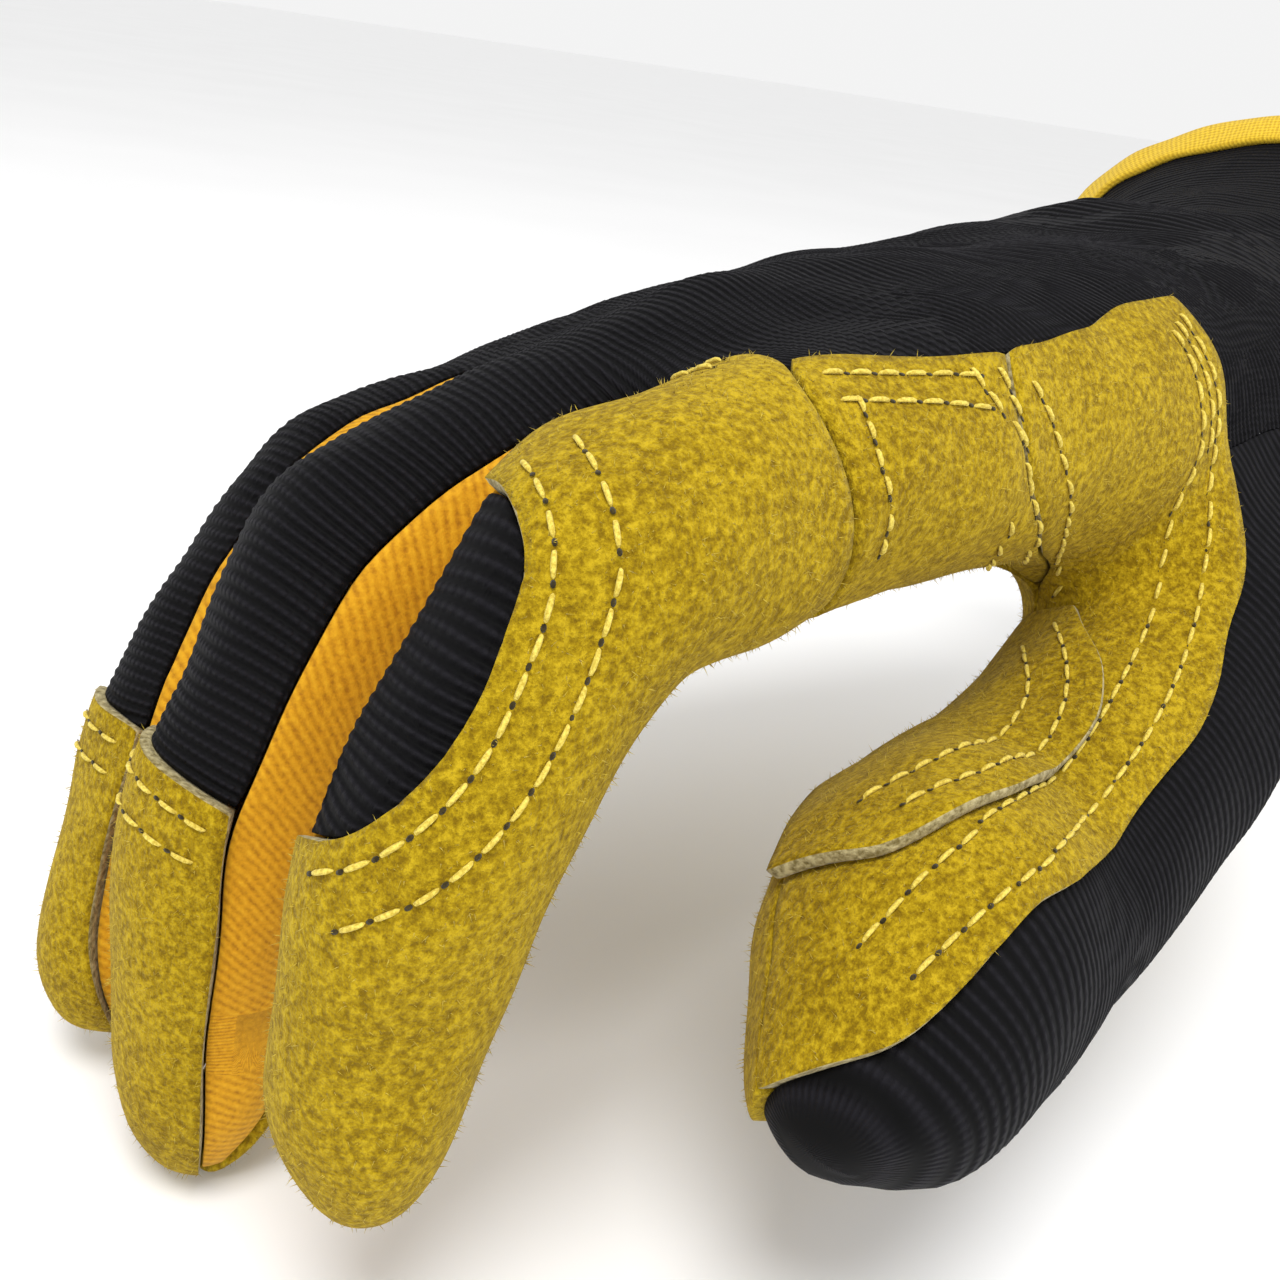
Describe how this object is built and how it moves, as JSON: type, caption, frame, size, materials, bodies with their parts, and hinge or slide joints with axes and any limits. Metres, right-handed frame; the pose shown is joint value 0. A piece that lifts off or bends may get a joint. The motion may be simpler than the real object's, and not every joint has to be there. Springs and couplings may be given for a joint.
{
  "type": "rigger glove",
  "caption": "Right-hand work glove of yellow suede and black ribbed fabric in a relaxed grip, open at the cuff.",
  "frame": {"origin": "middle of the cuff's opening, in the plane of its rim", "axes": "-X towards the fingers, -Y towards the thumb side, +Z out of the back of the hand"},
  "size_m": [0.2082, 0.1215, 0.1169],
  "materials": {
    "black_ribbed_fabric": "matte ribbed stretch fabric",
    "yellow_suede": "split suede with a short nap",
    "yellow_twill": "fine twill",
    "yellow_binding": "folded woven tape"
  },
  "bodies": {
    "root": {"back_panel": "black_ribbed_fabric", "palm_panel": "yellow_suede", "index_wrap": "yellow_suede", "index_back": "black_ribbed_fabric", "index_base": "yellow_suede", "thumb_panel": "yellow_suede", "thumb_saddle": "yellow_suede", "thumb_front": "yellow_suede", "thumb_back": "black_ribbed_fabric", "middle_cap": "yellow_suede", "ring_cap": "yellow_suede", "little_cap": "yellow_suede", "fourchette_index": "yellow_twill", "fourchette_middle": "yellow_twill", "fourchette_ring": "yellow_twill", "cuff": "black_ribbed_fabric", "cuff_binding": "yellow_binding"}
  },
  "joints": []
}
